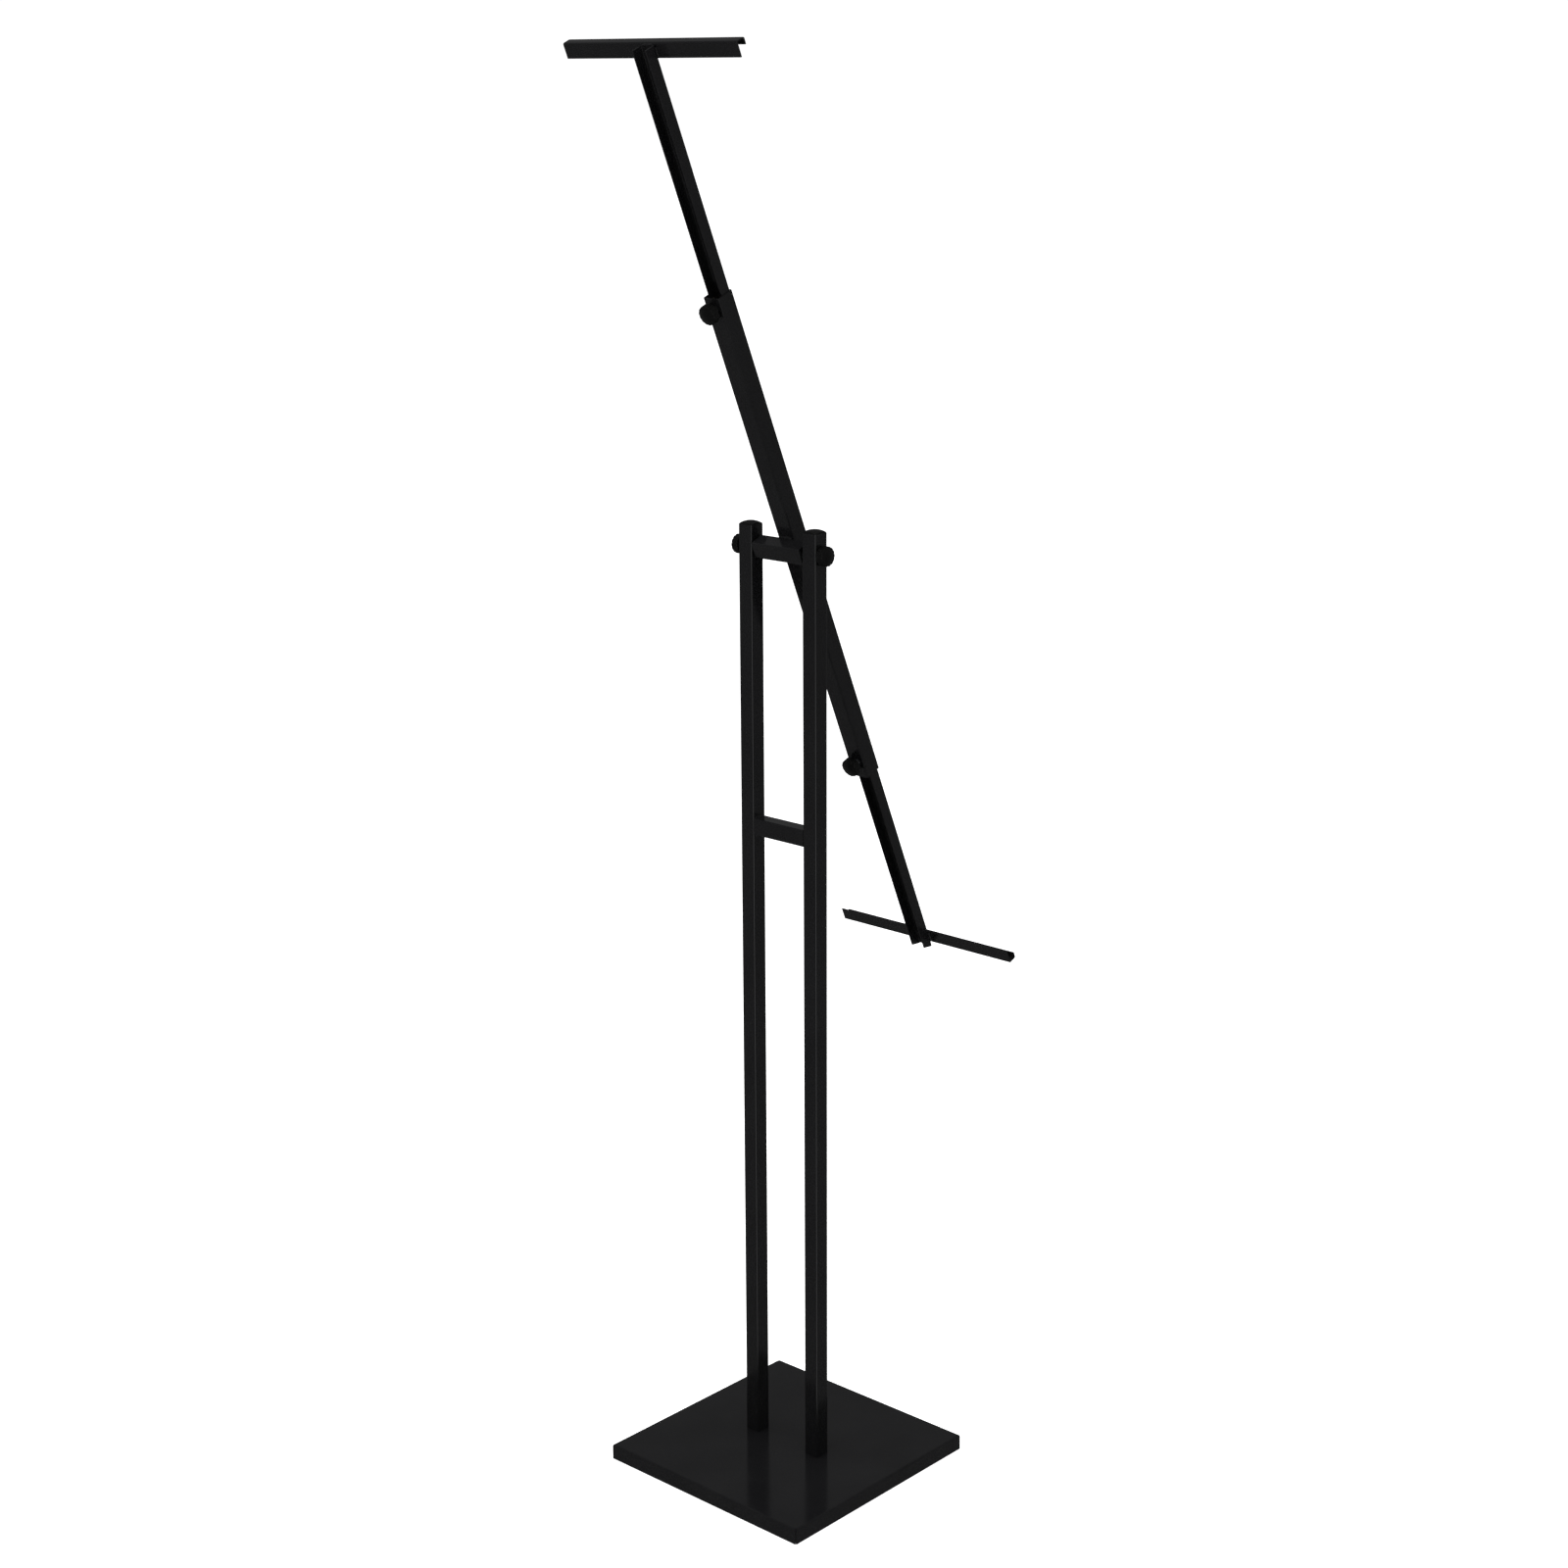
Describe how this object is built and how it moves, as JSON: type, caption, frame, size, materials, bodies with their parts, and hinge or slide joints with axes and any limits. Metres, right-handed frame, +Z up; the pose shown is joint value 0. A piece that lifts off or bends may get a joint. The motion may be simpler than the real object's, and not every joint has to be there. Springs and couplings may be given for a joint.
{
  "type": "tilting sign-board stand",
  "caption": "Free-standing two-pole stand with a tilting spine, telescoping arms and channel cross bars that grip the top and bottom edges of a sign board.",
  "frame": {"origin": "middle of the base's underside, on the floor", "axes": "+X along the pivot axis, from the left pole to the right pole seen from the knob side; +Y from the knob side to the board side; +Z up"},
  "size_m": [0.3, 0.479, 1.6636],
  "materials": {
    "powder_coat": "satin black powder coat on folded and drawn steel",
    "black_plastic": "moulded black plastic with a fine matte texture",
    "zinc_steel": "bright zinc-plated steel",
    "raw_steel": "oiled mill-finish steel, hidden inside",
    "rubber": "matte black foam rubber sheet",
    "nylon": "natural nylon, turned"
  },
  "bodies": {
    "stand": {"base_pan": "powder_coat", "spreader_plate": "raw_steel", "base_ballast": "raw_steel", "ballast_standoffs": "zinc_steel", "ballast_screws": "zinc_steel", "floor_pad": "rubber", "foot_bolts": "zinc_steel", "foot_washers": "zinc_steel", "left_foot_block": "raw_steel", "right_foot_block": "raw_steel", "left_pole": "powder_coat", "right_pole": "powder_coat", "left_end_cap": "black_plastic", "right_end_cap": "black_plastic", "mid_rail": "powder_coat", "mid_rail_welds": "powder_coat", "left_friction_washer": "black_plastic", "right_friction_washer": "black_plastic"},
    "head": {"pivot_bar": "powder_coat", "left_pivot_block": "raw_steel", "right_pivot_block": "raw_steel", "spine_tube": "powder_coat", "spine_welds": "powder_coat", "upper_clamp_nut": "powder_coat", "lower_clamp_nut": "powder_coat"},
    "upper_arm_set": {"upper_arm": "powder_coat", "upper_cross_bar": "powder_coat", "upper_arm_welds": "powder_coat"},
    "lower_arm_set": {"lower_arm": "powder_coat", "lower_cross_bar": "powder_coat", "lower_arm_welds": "powder_coat"},
    "upper_clamp_feed": {"upper_clamp_tip": "nylon"},
    "upper_clamp": {"upper_clamp_knob": "black_plastic", "upper_clamp_screw": "zinc_steel"},
    "lower_clamp_feed": {"lower_clamp_tip": "nylon"},
    "lower_clamp": {"lower_clamp_knob": "black_plastic", "lower_clamp_screw": "zinc_steel"},
    "left_pivot_feed": {"left_pole_washer": "black_plastic"},
    "left_pivot": {"left_pivot_knob": "black_plastic", "left_pivot_screw": "zinc_steel"},
    "right_pivot_feed": {"right_pole_washer": "black_plastic"},
    "right_pivot": {"right_pivot_knob": "black_plastic", "right_pivot_screw": "zinc_steel"}
  },
  "joints": [
    {"name": "tilt", "type": "hinge", "parent": "stand", "child": "head", "pos_m": [0, 0, 1.115], "axis": [1, 0, 0], "range_deg": [-22.6, 66.8]},
    {"name": "upper_arm_slide", "type": "slide", "parent": "head", "child": "upper_arm_set", "axis": [0, -0.3939, 0.9191], "range_m": [-0.244, 0.015]},
    {"name": "lower_arm_slide", "type": "slide", "parent": "head", "child": "lower_arm_set", "axis": [0, 0.3939, -0.9191], "range_m": [-0.24, 0.015]},
    {"name": "upper_clamp_feed", "type": "slide", "parent": "head", "child": "upper_clamp_feed", "axis": [0, -0.9191, -0.3939], "range_m": [0, 0.00185]},
    {"name": "upper_clamp_turn", "type": "hinge", "parent": "upper_clamp_feed", "child": "upper_clamp", "pos_m": [0, -0.10505, 1.38549], "axis": [0, -0.9191, -0.3939], "range_deg": [0, 630]},
    {"name": "lower_clamp_feed", "type": "slide", "parent": "head", "child": "lower_clamp_feed", "axis": [0, -0.9191, -0.3939], "range_m": [0, 0.00185]},
    {"name": "lower_clamp_turn", "type": "hinge", "parent": "lower_clamp_feed", "child": "lower_clamp", "pos_m": [0, 0.12619, 0.84596], "axis": [0, -0.9191, -0.3939], "range_deg": [0, 630]},
    {"name": "left_pivot_feed", "type": "slide", "parent": "stand", "child": "left_pivot_feed", "axis": [-1, 0, 0], "range_m": [0, 0.0024]},
    {"name": "left_pivot_turn", "type": "hinge", "parent": "left_pivot_feed", "child": "left_pivot", "pos_m": [-0.058, 0, 1.115], "axis": [-1, 0, 0], "range_deg": [0, 630]},
    {"name": "right_pivot_feed", "type": "slide", "parent": "stand", "child": "right_pivot_feed", "axis": [1, 0, 0], "range_m": [0, 0.0024]},
    {"name": "right_pivot_turn", "type": "hinge", "parent": "right_pivot_feed", "child": "right_pivot", "pos_m": [0.058, 0, 1.115], "axis": [1, 0, 0], "range_deg": [0, 630]}
  ],
  "couplings": [
    {"joint": "upper_clamp_feed", "follows": "upper_clamp_turn", "m_per_rad": 0.00015915},
    {"joint": "lower_clamp_feed", "follows": "lower_clamp_turn", "m_per_rad": 0.00015915},
    {"joint": "left_pivot_feed", "follows": "left_pivot_turn", "m_per_rad": 0.00019894},
    {"joint": "right_pivot_feed", "follows": "right_pivot_turn", "m_per_rad": 0.00019894}
  ]
}
